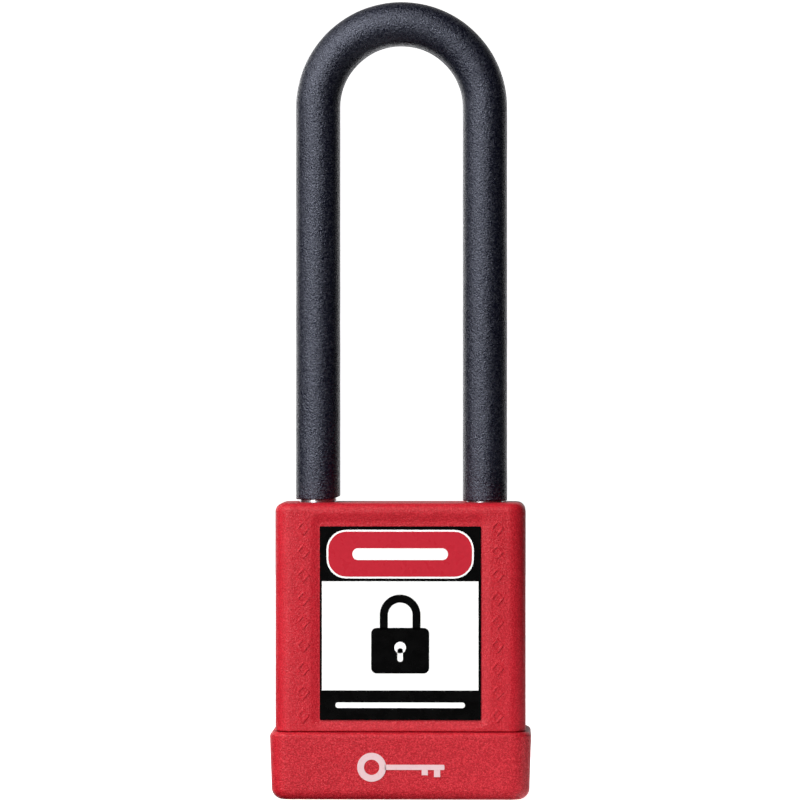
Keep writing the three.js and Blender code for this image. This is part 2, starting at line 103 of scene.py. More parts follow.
CAP_DRAFT = 0.036
CAP_WALL = 1.45
CAP_FLOOR = 1.6
CAP_FOOT = 1.8
CAP_RIM = 0.8
CAP = {
    "width": 2 * (CAP_HIGH.x + CAP_DRAFT * CAP_RIM),
    "depth": 2 * (CAP_HIGH.y + CAP_DRAFT * CAP_RIM),
    "corner": 3.5,
}
KEYHOLE_R = 4.7

LEG_X = SLEEVE_HIGH.x - SLEEVE_HIGH.y
BOW_Z = SLEEVE_HIGH.z - SLEEVE_HIGH.x
SLEEVE_R = SLEEVE_HIGH.y
STEEL_R = STEEL_HIGH.y
BORE_R = STEEL_R + 0.1
TOE_SLEEVE_END = COVER_HIGH.z + 0.45
HEEL_SLEEVE_END = SLEEVE_LOW.z
SLEEVE_EDGE = 0.22
TRIM_HEIGHT = 1.2
TRIM_START = LEG_X - 2.3
TRIM_SLOPE = 0.42
TOE_END = 36.8
HEEL_END = STEEL_LOW.z
NECK_R = 1.6
NECK_LOW = 18.0
NECK_HIGH = 32.4
NOTCH_Z = 41.5
NOTCH_HALF = 2.4
NOTCH_DEEP = 1.5

PIN_COUNT = 6
PIN_PITCH = 3.7
FIRST_PIN_Z = 7.0
PIN_HOLE_R = 1.5
PLUG_R = 5.0
PLUG_HEAD = 1.3
PLUG_TOP = 32.0
KEYWAY_TOP = 27.5
GROOVE_R = 3.9
GROOVE_LOW = 27.9
GROOVE_HIGH = 30.1
TANG = {"width": 2.4, "height": 7.0, "corner": 0.2}

SHACKLE_WIRE = 0.35
SHACKLE_TURNS = 9
PIN_WIRE = 0.17
PIN_TURNS = 5

LABEL_CORNER = 0.15
INK = 0.02

# ---- Camera and lights, in metres and degrees ----
CAMERA_AIM = (-0.00025, 0, 0.0649)
CAMERA_DISTANCE = 0.78
CAMERA_TURN = 1.3
VIEW_WIDTH = 0.1314
LIT_POINT = (0, 0, 0.065)
LIGHT_DISTANCE = 0.9
BOUNCE_DISTANCE = 0.12

# ---- Stage, in millimetres ----
STAGE_RADIUS = 2000
STAGE_SWEEP = 600
STAGE_HEIGHT = 1800

# ---- Smoothness ----
CORNER_STEPS = 12
FILLET_STEPS = 7
TUBE_SIDES = 56
BOW_STEPS = 64
LEG_STEP = 2.5
COIL_STEPS = 24
WIRE_SIDES = 8


# ---- Outlines and profiles ----


def rounded_rectangle(width, depth, corner):
    """The points of a rounded rectangle round the origin, anticlockwise."""
    points = []
    for quarter in range(4):
        x = (width / 2 - corner) * (1 if quarter in (0, 3) else -1)
        y = (depth / 2 - corner) * (1 if quarter < 2 else -1)
        for step in range(CORNER_STEPS + 1):
            angle = (quarter + step / CORNER_STEPS) * math.pi / 2
            points.append((x + corner * math.cos(angle), y + corner * math.sin(angle)))
    return points


def corner_arc(before, corner, after, radius):
    """The points of an arc that rounds off one corner of a profile."""
    here = Vector(corner)
    back = (Vector(before) - here).normalized()
    ahead = (Vector(after) - here).normalized()
    half = back.angle(ahead) / 2
    centre = here + (back + ahead).normalized() * radius / math.sin(half)
    start = here + back * radius / math.tan(half) - centre
    end = here + ahead * radius / math.tan(half) - centre
    sweep = math.pi - 2 * half
    points = []
    for step in range(FILLET_STEPS + 1):
        share = step / FILLET_STEPS
        mixed = start * math.sin((1 - share) * sweep) + end * math.sin(share * sweep)
        points.append(tuple(centre + mixed / math.sin(sweep)))
    return points


def filleted(corners, closed=False):
    """The points of a profile given as (u, v) or, to round the corner, (u, v, radius)."""
    points = []
    count = len(corners)
    for i, corner in enumerate(corners):
        at_end = not closed and i in (0, count - 1)
        if at_end or len(corner) < 3 or corner[2] <= 0:
            points.append(tuple(corner[:2]))
            continue
        before = corners[i - 1][:2]
        after = corners[(i + 1) % count][:2]
        points.extend(corner_arc(before, corner[:2], after, corner[2]))
    return points


def rectangle(width, height, corner=0.0, x=0.0, y=0.0):
    """The points of a rectangle round (x, y), with round corners if wanted."""
    w, h = width / 2, height / 2
    corners = [
        (x - w, y - h, corner),
        (x + w, y - h, corner),
        (x + w, y + h, corner),
        (x - w, y + h, corner),
    ]
    return filleted(corners, closed=True)


def circle(radius, sides=TUBE_SIDES):
    """The points of a circle round the origin, anticlockwise."""
    return [
        (radius * math.cos(2 * math.pi * i / sides), radius * math.sin(2 * math.pi * i / sides))
        for i in range(sides)
    ]


# ---- Skins ----


def skin(rings, closed=False):
    """A mesh over a row of rings of equal length, capped at both ends or closed on itself."""
    bm = bmesh.new()
    loops = [[bm.verts.new(point) for point in ring] for ring in rings]
    pairs = list(zip(loops, loops[1:]))
    if closed:
        pairs.append((loops[-1], loops[0]))
    else:
        bm.faces.new(loops[0])
        bm.faces.new(loops[-1])
    around = len(loops[0])
    for low, high in pairs:
        for i in range(around):
            j = (i + 1) % around
            bm.faces.new((low[i], low[j], high[j], high[i]))
    bmesh.ops.recalc_face_normals(bm, faces=bm.faces)
    return bm


def box_skin(size, profile):
    """A skin through rounded rectangles, each set in from size by a profile's u at height v."""
    rings = []
    for inset, z in profile:
        corner = max(size["corner"] - inset, 0.05)
        outline = rounded_rectangle(size["width"] - 2 * inset, size["depth"] - 2 * inset, corner)
        rings.append([(x, y, z) for x, y in outline])
    return skin(rings)


def turned(profile, sides=TUBE_SIDES):
    """A skin turned about Z through a profile of (radius, height) points off the axis."""
    return skin([[(x, y, z) for x, y in circle(radius, sides)] for radius, z in profile])


def slab(outline, low, high):
    """A flat plate of the given outline, from z low to high."""
    return skin([[(x, y, z) for x, y in outline] for z in (low, high)])


def moved(bm, matrix):
    """The same bmesh, turned or shifted by a matrix."""
    bmesh.ops.transform(bm, matrix=matrix, verts=bm.verts)
    return bm


def joined(meshes):
    """Several bmeshes as one."""
    whole = bmesh.new()
    for bm in meshes:
        part = bpy.data.meshes.new("part")
        bm.to_mesh(part)
        bm.free()
        whole.from_mesh(part)
        bpy.data.meshes.remove(part)
    return whole


def facing(side, height=0.0):
    """Turns a plate drawn in XY, with z outwards, to the front (side -1) or the back (side 1)."""
    upright = Matrix.Rotation(math.pi / 2, 4, "X")
    turn = Matrix.Rotation(math.pi, 4, "Z") if side > 0 else Matrix.Identity(4)
    return Matrix.Translation((0, 0, height)) @ turn @ upright


# ---- Pieces ----


def new_object(name, bm):
    """An object in the scene made from a bmesh, which is used up."""
    mesh = bpy.data.meshes.new(name)
    bm.to_mesh(mesh)
    bm.free()
    obj = bpy.data.objects.new(name, mesh)
    bpy.context.scene.collection.objects.link(obj)
    return obj


def apply_modifiers(obj):
    """Makes the object's mesh what its modifiers show."""
    bpy.context.view_layer.update()
    evaluated = obj.evaluated_get(bpy.context.evaluated_depsgraph_get())
    mesh = bpy.data.meshes.new_from_object(evaluated)
    obj.modifiers.clear()
    old = obj.data
    obj.data = mesh
    bpy.data.meshes.remove(old)


def cut(bm, cutters):
    """The solid with every cutter taken away."""
    body = new_object("body", bm)
    tools = [new_object("tool", cutter) for cutter in cutters]
    for tool in tools:
        modifier = body.modifiers.new("cut", "BOOLEAN")
        modifier.operation = "DIFFERENCE"
        modifier.solver = "EXACT"
        modifier.object = tool
    apply_modifiers(body)
    result = bmesh.new()
    result.from_mesh(body.data)
    for obj in [body, *tools]:
        mesh = obj.data
        bpy.data.objects.remove(obj)
        bpy.data.meshes.remove(mesh)
    return result


def mark_sharp(bm, angle=math.radians(32)):
    """Smooth faces all over, with an edge wherever the surface turns by more than the angle."""
    for face in bm.faces:
        face.smooth = True
    for edge in bm.edges:
        edge.smooth = len(edge.link_faces) == 2 and edge.calc_face_angle(0) < angle


def piece(name, bm, material, body, replaces=()):
    """A finished piece from a bmesh in millimetres, riding on a CAD body if one is named."""
    moved(bm, Matrix.Scale(MM, 4))
    bmesh.ops.recalc_face_normals(bm, faces=bm.faces)
    mark_sharp(bm)
    obj = new_object(name, bm)
    obj.data.materials.clear()
    obj.data.materials.append(material)
    weighted = obj.modifiers.new("flat faces stay flat", "WEIGHTED_NORMAL")
    weighted.keep_sharp = True
    apply_modifiers(obj)
    if body:
        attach(obj, body)
    if replaces:
        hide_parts(*replaces)
    return obj


# ---- Shader building blocks ----


class Shader:
    """A material's nodes. Its coordinates are the object's own, in millimetres."""

    def __init__(self, name):
        self.material = bpy.data.materials.new(name)
        self.material.use_nodes = True
        self.tree = self.material.node_tree
        self.tree.nodes.clear()
        self.surface = self.tree.nodes.new("ShaderNodeBsdfPrincipled")
        output = self.tree.nodes.new("ShaderNodeOutputMaterial")
        self.tree.links.new(self.surface.outputs["BSDF"], output.inputs["Surface"])
        texture = self.tree.nodes.new("ShaderNodeTexCoord")
        self.coordinates = self.add(
            "ShaderNodeVectorMath",
            {0: texture.outputs["Object"], 1: (1 / MM, 1 / MM, 1 / MM)},
            operation="MULTIPLY",
        ).outputs["Vector"]

    def add(self, kind, inputs=None, **settings):
        """A node with its settings, and its inputs given as values or linked from sockets."""
        node = self.tree.nodes.new(kind)
        for name, value in settings.items():
            setattr(node, name, value)
        for key, value in (inputs or {}).items():
            self.set(node.inputs[key], value)
        return node

    def set(self, socket, value):
        """Links a socket to the input, or writes a plain value in it."""
        if isinstance(value, bpy.types.NodeSocket):
            self.tree.links.new(value, socket)
        else:
            socket.default_value = value

    def finish(self, **inputs):
        """Sets the surface's inputs, with spaces written as underscores."""
        for name, value in inputs.items():
            self.set(self.surface.inputs[name.replace("_", " ")], value)
        return self.material

    def stretched(self, x, y, z):
        """Coordinates whose pattern is drawn out along the axes with the small numbers."""
        return self.add(
            "ShaderNodeVectorMath",
            {0: self.coordinates, 1: (x, y, z)},
            operation="MULTIPLY",
        ).outputs["Vector"]

    def noise(self, scale, detail=2.0, roughness=0.5, vector=None):
        """Smooth noise from 0 to 1, with scale features to a millimetre."""
        return self.add(
            "ShaderNodeTexNoise",
            {
                "Vector": vector or self.coordinates,
                "Scale": scale,
                "Detail": detail,
                "Roughness": roughness,
            },
        ).outputs["Fac"]

    def cells(self, scale):
        """Distance to the middle of the nearest cell, with scale cells to a millimetre."""
        return self.add(
            "ShaderNodeTexVoronoi",
            {"Vector": self.coordinates, "Scale": scale},
            feature="SMOOTH_F1",
        ).outputs["Distance"]

    def facets(self, scale):
        """A random value from 0 to 1 for each grain, with scale grains to a millimetre."""
        cells = self.add("ShaderNodeTexVoronoi", {"Vector": self.coordinates, "Scale": scale})
        split = self.add("ShaderNodeSeparateColor", {"Color": cells.outputs["Color"]})
        return split.outputs["Red"]

    def remap(self, value, low, high, new_low=0.0, new_high=1.0):
        """A value stretched from one range to another and held within it."""
        return self.add(
            "ShaderNodeMapRange",
            {
                "Value": value,
                "From Min": low,
                "From Max": high,
                "To Min": new_low,
                "To Max": new_high,
            },
        ).outputs["Result"]

    def sum(self, a, b):
        return self.add("ShaderNodeMath", {0: a, 1: b}, operation="ADD").outputs["Value"]

    def product(self, a, b):
        return self.add("ShaderNodeMath", {0: a, 1: b}, operation="MULTIPLY").outputs["Value"]

    def mix(self, share, a, b):
        """One colour turning into another."""
        node = self.add("ShaderNodeMix", {"Factor": share}, data_type="RGBA")
        first, second = [socket for socket in node.inputs if socket.type == "RGBA"]
        self.set(first, a)
        self.set(second, b)
        return next(socket for socket in node.outputs if socket.type == "RGBA")

    def bump(self, height, depth):
        """The normal of a surface raised by height, which is depth millimetres for a height of 1."""
        inputs = {"Height": height, "Distance": depth * MM, "Strength": 1.0}
        return self.add("ShaderNodeBump", inputs).outputs["Normal"]

    def edge_wear(self, radius):
        """Near 1 along edges sharper than the radius, and 0 on flat faces."""
        rounded = self.add("ShaderNodeBevel", {"Radius": radius * MM}, samples=6)
        geometry = self.add("ShaderNodeNewGeometry")
        across = self.add(
            "ShaderNodeVectorMath",
            {0: rounded.outputs["Normal"], 1: geometry.outputs["Normal"]},
            operation="DOT_PRODUCT",
        ).outputs["Value"]
        return self.remap(across, 0.995, 0.9)


def rgb(red, green, blue):
    return (red, green, blue, 1.0)


# ---- Materials ----


def red_plastic(name, depth, speckle):
    """Moulded nylon with a fine spark-eroded grain, a little paler along its edges."""
    shader = Shader(name)
    deep = rgb(0.45, 0.0065, 0.017)
    fresh = rgb(0.51, 0.009, 0.022)
    dark = rgb(0.33, 0.002, 0.007)
    pale = rgb(0.67, 0.032, 0.046)
    colour = shader.mix(shader.remap(shader.noise(0.09, 3.0), 0.3, 0.7), deep, fresh)
    facets = shader.facets(6.5)
    colour = shader.mix(shader.remap(facets, 0.5, 0.0, 0.0, speckle), colour, dark)
    colour = shader.mix(shader.remap(facets, 0.5, 1.0, 0.0, speckle), colour, pale)
    worn = shader.product(shader.edge_wear(0.35), shader.remap(shader.noise(0.8), 0.35, 0.7))
    colour = shader.mix(shader.product(worn, 0.3), colour, pale)
    grain = shader.sum(shader.noise(5.6, 2.0, 0.6), shader.product(shader.cells(4.4), 0.6))
    return shader.finish(
        Base_Color=colour,
        Roughness=shader.remap(facets, 0.0, 1.0, 0.52, 0.36),
        Normal=shader.bump(grain, depth),
        Specular_IOR_Level=0.28,
    )


def black_nylon():
    """Black nylon moulded over the bar, with a fine leathery grain that glints."""
    shader = Shader("black_nylon")
    dark = rgb(0.001, 0.0012, 0.0065)
    worn = rgb(0.002, 0.0024, 0.009)
    dusty = rgb(0.05, 0.054, 0.065)
    pale = rgb(0.036, 0.038, 0.047)
    colour = shader.mix(shader.remap(shader.noise(0.12, 3.0), 0.3, 0.7), dark, worn)
    dust = shader.remap(shader.noise(2.8, 2.0, 0.7), 0.66, 0.8)
    colour = shader.mix(shader.product(dust, 0.2), colour, dusty)
    facets = shader.facets(5.4)
    colour = shader.mix(shader.remap(facets, 0.6, 1.0, 0.0, 0.9), colour, pale)
    leather = shader.product(shader.cells(3.7), 0.8)
    pores = shader.noise(6.2, 2.0, 0.6)
    grain = shader.sum(leather, pores)
    return shader.finish(
        Base_Color=colour,
        Roughness=shader.remap(facets, 0.0, 1.0, 0.21, 0.42),
        Normal=shader.bump(grain, 0.105),
        Specular_IOR_Level=0.74,
        Specular_Tint=rgb(0.78, 0.82, 1.0),
    )


def film(name, colour, shade, low, high):
    """Printed film: a flat ink with a faint mottle and a satin skin."""
    shader = Shader(name)
    mottle = shader.noise(1.4, 4.0, 0.6)
    tone = shader.mix(shader.remap(mottle, 0.3, 0.75), colour, shade)
    roughness = shader.remap(shader.noise(0.5, 4.0), 0.3, 0.7, low, high)
    waves = shader.sum(shader.noise(0.35, 2.0), shader.product(shader.noise(9.0, 2.0), 0.1))
    return shader.finish(
        Base_Color=tone,
        Roughness=roughness,
        Normal=shader.bump(waves, 0.015),
        Specular_IOR_Level=0.12,
    )


def cap_print():
    """Pale ink pressed over the grained cap, a little worn through."""
    shader = Shader("cap_print")
    worn = shader.remap(shader.noise(2.4, 4.0, 0.7), 0.56, 0.72, 0.0, 0.5)
    colour = shader.mix(worn, rgb(0.72, 0.5, 0.52), rgb(0.6, 0.2, 0.22))
    return shader.finish(
        Base_Color=colour,
        Roughness=shader.remap(shader.noise(3.0), 0.3, 0.7, 0.42, 0.6),
        Normal=shader.bump(shader.noise(4.2, 3.0, 0.65), 0.03),
    )


def metal(name, bright, dull, lines, low, high, depth=0.006):
    """Machined metal: tool lines drawn out along one axis, with dull stains and fine scratches."""
    shader = Shader(name)
    drawn = shader.noise(1.0, 3.0, 0.6, vector=shader.stretched(*lines))
    stains = shader.noise(0.22, 5.0, 0.6)
    colour = shader.mix(shader.remap(stains, 0.35, 0.72), bright, dull)
    roughness = shader.sum(
        shader.remap(drawn, 0.3, 0.7, low, high),
        shader.remap(stains, 0.45, 0.75, 0.0, 0.12),
    )
    return shader.finish(
        Base_Color=colour,
        Metallic=1.0,
        Roughness=roughness,
        Normal=shader.bump(drawn, depth),
    )


def make_materials():
    """Every material, by name. Metals are named after their slots in the record."""
    steel = rgb(0.56, 0.57, 0.59), rgb(0.42, 0.42, 0.43)
    return {
        "cover_plastic": red_plastic("cover_plastic", 0.09, 0.6),
        "cap_plastic": red_plastic("cap_plastic", 0.11, 0.95),
        "nylon": black_nylon(),
        "cap_print": cap_print(),
        "white_film": film("white_film", rgb(0.96, 0.96, 0.95), rgb(0.92, 0.92, 0.91), 0.24, 0.34),
        "matt_film": film("matt_film", rgb(0.8, 0.8, 0.77), rgb(0.72, 0.72, 0.69), 0.5, 0.66),
        "black_ink": film("black_ink", rgb(0.001, 0.001, 0.001), rgb(0.002, 0.002, 0.002), 0.22, 0.32),
        "red_ink": film("red_ink", rgb(0.51, 0.022, 0.038), rgb(0.46, 0.019, 0.033), 0.24, 0.34),
        "alloy": metal("alloy", rgb(0.74, 0.75, 0.77), rgb(0.6, 0.61, 0.63), (6, 6, 0.3), 0.3, 0.46),
        "hardened_steel": metal("hardened_steel", *steel, (0.5, 0.5, 9), 0.2, 0.36),
        "spring_steel": metal("spring_steel", *steel, (4, 4, 4), 0.26, 0.4),
        "brass": metal("brass", rgb(0.8, 0.58, 0.25), rgb(0.6, 0.4, 0.16), (0.6, 0.6, 8), 0.24, 0.4),
        "plug_face": metal("plug_face", rgb(0.8, 0.6, 0.3), rgb(0.58, 0.4, 0.18), (3, 0.4, 3), 0.26, 0.42),
    }


# ---- Cover ----


def cover_shell():
    """The cover's skin: down inside the cavity, round the skirt's foot and up the outside."""
    top = COVER_HIGH.z
    foot = COVER_LOW.z
    profile = filleted([
        (COVER_WALL + 0.6, top - COVER_WALL),
        (COVER_WALL, top - COVER_WALL, 0.5),
        (COVER_WALL, foot, 0.12),
        (SKIRT_INSET, foot, 0.2),
        (SKIRT_INSET, SHOULDER, 0.1),
        (0, SHOULDER, 0.18),
        (0, top, COVER_EDGE),
        (COVER_EDGE + 0.8, top),
    ])
    return box_skin(COVER, profile)


def panel_cutter(side):
    """The label's shallow panel, whose walls slope down and run softly into the face and floor."""
    face = COVER_HIGH.y
    half = PANEL_SLOPE / 2
    profile = filleted([
        (-1.8, face + 0.6),
        (-1.7, face),
        (-half, face, PANEL_BROW),
        (half, PANEL_FLOOR, PANEL_ROOT),
        (1.6, PANEL_FLOOR),
    ])
    return moved(box_skin(PANEL, profile), facing(side, PANEL_Z))


def leg_hole(x):
    """A hole for a leg through the cover's roof, with a chamfered rim."""
    top = COVER_HIGH.z
    hole = STEEL_R + LEG_CLEARANCE
    rim = hole + 0.35
    profile = [(hole, top - 3), (hole, top - 0.3), (rim, top + 0.05), (rim, top + 1)]
    return moved(turned(profile), Matrix.Translation((x, 0, 0)))


def latch_window(x, side):
    """A window through the skirt for one of the cap's lugs."""
    outline = rectangle(WINDOW["width"], WINDOW["height"], 0.2)
    inner = COVER_HIGH.y - COVER_WALL
    window = slab(outline, inner - 0.9, inner + 0.9)
    return moved(window, Matrix.Translation((x, 0, 0)) @ facing(side, LATCH_Z))


def grip_stud(side, height):
    """An open lozenge raised from the cover's front, with softened edges."""
    section = [
        (1.0, -0.1),
        (1.0, 0.4),
        (0.95, 0.85),
        (0.88, 1.0),
        (0.7, 1.0),
        (0.63, 0.85),
        (0.58, 0.4),
        (0.58, -0.1),
    ]
    rings = []
    for scale, rise in section:
        w = STUD["half_width"] * scale
        h = STUD["half_height"] * scale
        level = COVER_HIGH.y + rise * STUD["proud"]
        corner = STUD["corner"]
        points = [(w, 0, corner), (0, h, corner), (-w, 0, corner), (0, -h, corner)]
        rings.append([(x, y, level) for x, y in filleted(points, closed=True)])
    place = Matrix.Translation((side * STUD_X, 0, 0)) @ facing(-1, height)
    return moved(skin(rings, closed=True), place)


def make_cover(material):
    """The cover with its panels, holes, windows and two columns of raised studs."""
    tools = [panel_cutter(-1), panel_cutter(1), leg_hole(-LEG_X), leg_hole(LEG_X)]
    tools += [latch_window(x, side) for x in (-LATCH_X, LATCH_X) for side in (-1, 1)]
    shell = cut(cover_shell(), tools)
    heights = [STUD_TOP - i * STUD_PITCH for i in range(STUD_COUNT)]
    studs = [grip_stud(side, height) for side in (-1, 1) for height in heights]
    piece("cover_shell", joined([shell, *studs]), material, "case", ["body_cover"])


# ---- Cap ----


def cap_inset(z):
    """How far the cap's drafted side is set in at a height."""
    return CAP_DRAFT * (CAP_HIGH.z - z)


def cap_shell():
    """The cap's skin: up inside its wall, over the rim and down its drafted outside."""
    top = CAP_HIGH.z
    profile = filleted([
        (CAP_WALL + 1.0, CAP_FLOOR),
        (CAP_WALL, CAP_FLOOR, 0.3),
        (CAP_WALL, top, 0.15),
        (0, top, CAP_RIM),
        (cap_inset(0), 0, CAP_FOOT),
        (cap_inset(0) + CAP_FOOT + 0.6, 0),
    ])
    return box_skin(CAP, profile)


def keyhole_cutter():
    """A round hole with a softened mouth, through which the plug's face shows."""
    mouth = KEYHOLE_R + 0.6
    return turned([
        (mouth, -1),
        (mouth, 0),
        (KEYHOLE_R + 0.2, 0.18),
        (KEYHOLE_R, 0.5),
        (KEYHOLE_R, CAP_FLOOR + 1),
    ])


def latch_lug(x, side):
    """A lug inside the cap's wall that snaps into a window in the cover's skirt."""
    wall = CAP["depth"] / 2 - CAP_WALL
    lug = slab(rectangle(LUG["width"], LUG["height"]), wall - LUG["reach"], wall + 0.3)
    return moved(lug, Matrix.Translation((x, 0, 0)) @ facing(side, LATCH_Z))


def make_cap(material):
    """The cap with its keyhole and four lugs."""
    shell = cut(cap_shell(), [keyhole_cutter()])
    lugs = [latch_lug(x, side) for x in (-LATCH_X, LATCH_X) for side in (-1, 1)]
    piece("cap_shell", joined([shell, *lugs]), material, "case", ["bottom_cap"])


def on_cap_face(bm, proud):
    """Lays a plate drawn in XY, with z from 0 to 1, on the cap's drafted front."""
    sunk = 0.05
    for vertex in bm.verts:
        x, y, rise = vertex.co
        face = CAP["depth"] / 2 - cap_inset(y)
        vertex.co = (x, -(face - sunk + rise * (proud + sunk)), y)
    return bm


def key_pictogram():
    """A plain key lying on its side: a ring, a stem and two teeth."""
    middle = 5.4
    ring_x, ring_r, eye_r = -4.6, 2.35, 1.25
    stem_start, stem_end, stem_half = -2.5, 7.2, 0.42
    ring = [
        [(ring_x + x, middle + y, z) for x, y in circle(radius, 40)]
        for radius, z in [(ring_r, 0), (ring_r, 1), (eye_r, 1), (eye_r, 0)]
    ]
    stem = filleted([
        (stem_start, middle - stem_half),
        (stem_end, middle - stem_half, 0.2),
        (stem_end, middle + stem_half, 0.2),
        (stem_start, middle + stem_half),
    ], closed=True)
    plates = [skin(ring, closed=True), slab(stem, 0, 1)]
    for x, drop in [(6.0, 1.15), (4.0, 0.85)]:
        high = middle - 0.3
        low = middle - stem_half - drop
        tooth = rectangle(1.0, high - low, x=x, y=(high + low) / 2)
        plates.append(slab(tooth, 0, 0.98))
    return joined(plates)


def make_cap_print(material):
    """The key pictogram, printed on the front of the cap."""
    plate = on_cap_face(key_pictogram(), 0.07)
    piece("cap_key_print", plate, material, "case")


# ---- Labels ----


def make_front_label(materials):
    """A black film with a red and a white field, a padlock pictogram and plain rules."""
    black, red, white = [materials[name] for name in ("black_ink", "red_ink", "white_film")]
    width = LABEL_HIGH.x - LABEL_LOW.x
    height = LABEL_HIGH.z - LABEL_LOW.z
    middle = (LABEL_HIGH.z + LABEL_LOW.z) / 2
    front = -LABEL_LOW.y
    header, footer = 8.9, 4.8
    field_height = height - header - footer
    field_y = (footer - header) / 2
    pill_y = (height - header) / 2 - 0.05
    rule_y = (footer - height) / 2

    def plate(name, outlines, level, material, replaces=()):
        """One printed layer: level 0 is the film itself, and each level lies on the one below."""
        low = PANEL_FLOOR if level == 0 else front + (level - 1) * INK
        plates = [slab(outline, low, front + level * INK) for outline in outlines]
        bm = moved(joined(plates), facing(-1, middle))
        piece(name, bm, material, "case", replaces)

    plate("label_film", [rectangle(width, height, LABEL_CORNER)], 0, black, ["label_front"])
    plate("label_field", [rectangle(width - 0.7, field_height, y=field_y)], 1, white)
    plate("label_pill_edge", [rectangle(23.9, 7.9, 3.2, y=pill_y)], 1, white)
    plate("label_pill", [rectangle(23.3, 7.3, 2.9, y=pill_y)], 2, red)
    plate("label_bar", [rectangle(15.5, 1.9, 0.9, y=pill_y)], 3, white)
    plate("label_rule", [rectangle(21.0, 0.9, 0.4, y=rule_y)], 1, white)
    plate("label_padlock_body", [rectangle(9.4, 7.4, 0.9, y=field_y - 2.4)], 2, black)
    plate("label_padlock_bow", [padlock_bow(field_y + 1.0)], 2, black)
    keyhole_foot = rectangle(0.9, 2.2, 0.4, y=field_y - 3.1)
    keyhole_eye = [(x, y + field_y - 1.9) for x, y in circle(0.95, 32)]
    plate("label_padlock_keyhole", [keyhole_foot, keyhole_eye], 3, white)


def padlock_bow(foot):
    """The outline of a pictogram padlock's bow, a round arch with two straight legs."""
    outer, inner, leg = 3.3, 2.0, 2.4
    steps = 24
    arch = [math.pi * i / steps for i in range(steps + 1)]
    outside = [(outer * math.cos(a), foot + leg + outer * math.sin(a)) for a in arch]
    inside = [(inner * math.cos(a), foot + leg + inner * math.sin(a)) for a in reversed(arch)]
    return [(outer, foot), *outside, (-outer, foot), (-inner, foot), *inside, (inner, foot)]


def make_back_label(materials):
    """A matt write-on film with a thin frame and ruled lines."""
    low, high = extent("label_back")
    width = high.x - low.x
    height = high.z - low.z
    place = facing(1, (high.z + low.z) / 2)
    film_plate = moved(slab(rectangle(width, height, LABEL_CORNER), low.y, high.y), place)
    piece("write_on_film", film_plate, materials["matt_film"], "case", ["label_back"])
    line, margin = 0.25, 1.2
    first_rule, rule_pitch, rule_count = 8.5, 5.6, 4
    w, h = width / 2 - margin, height / 2 - margin
    bars = [rectangle(2 * w + line, line, y=y) for y in (-h, h)]
    bars += [rectangle(line, 2 * h - line, x=x) for x in (-w, w)]
    bars += [rectangle(2 * w - 3, line, y=first_rule - rule_pitch * i) for i in range(rule_count)]
    ruling = moved(joined([slab(outline, high.y, high.y + INK) for outline in bars]), place)
    piece("write_on_ruling", ruling, materials["black_ink"], "case")


# ---- Shackle ----


def station(x, z, phi, radius, sides=TUBE_SIDES):
    """A ring round the shackle's bar at one point of its axis."""
    ring = []
    for u, v in circle(radius, sides):
        ring.append((x + u * math.cos(phi), v, z + u * math.sin(phi)))
    return ring


def leg_heights(low, high):
    """Evenly spaced heights from low up to, but without, high."""
    count = max(1, round((high - low) / LEG_STEP))
    return [low + (high - low) * i / count for i in range(count)]


def bar_stations(toe, heel, radius):
    """Rings up the toe leg from toe, over the bow, and down the heel leg to heel."""
    rings = [station(-LEG_X, z, math.pi, radius) for z in leg_heights(toe, BOW_Z)]
    for i in range(BOW_STEPS + 1):
        phi = math.pi * (1 - i / BOW_STEPS)
        rings.append(station(LEG_X * math.cos(phi), BOW_Z + LEG_X * math.sin(phi), phi, radius))
    rings += [station(LEG_X, z, 0, radius) for z in reversed(leg_heights(heel, BOW_Z))]
    return rings


def trim_toe_corner(bm):
    """Cuts the moulding's inner lower corner obliquely at the toe end."""
    for vertex in bm.verts:
        past = vertex.co.x + TRIM_START
        rise = vertex.co.z - TOE_SLEEVE_END
        if vertex.co.x < 0 and past > 0 and rise < TRIM_HEIGHT:
            share = 1 - max(0, rise) / TRIM_HEIGHT
            vertex.co.z += past * TRIM_SLOPE * share


def ripple(bm, amount, size):
    """Moves each vertex along its normal by smooth noise, as a moulding is never quite true."""
    bm.normal_update()
    shifts = [(v, v.normal * amount * noise.noise(v.co / size)) for v in bm.verts]
    for vertex, shift in shifts:
        vertex.co += shift


def make_sleeve(material):
    """The nylon tube round the bar: outside from toe to heel, then back through the bore."""
    toe, heel = TOE_SLEEVE_END, HEEL_SLEEVE_END
    toe_edge = filleted([
        (BORE_R, toe + 1),
        (BORE_R, toe, 0.08),
        (SLEEVE_R, toe, SLEEVE_EDGE),
        (SLEEVE_R, toe + 1),
    ])
    heel_edge = filleted([
        (SLEEVE_R, heel + 1),
        (SLEEVE_R, heel, SLEEVE_EDGE),
        (BORE_R, heel, 0.08),
        (BORE_R, heel + 1),
    ])
    outside = bar_stations(toe + 1.2, heel + 1.2, SLEEVE_R)
    inside = list(reversed(bar_stations(toe + 1.2, heel + 1.2, BORE_R)))
    toe_rings = [station(-LEG_X, z, math.pi, r) for r, z in toe_edge]
    heel_rings = [station(LEG_X, z, 0, r) for r, z in heel_edge]
    bm = skin([*toe_rings, *outside, *heel_rings, *inside], closed=True)
    trim_toe_corner(bm)
    ripple(bm, 0.025, 5.0)
    piece("nylon_sleeve", bm, material, "shackle", ["shackle_sleeve"])


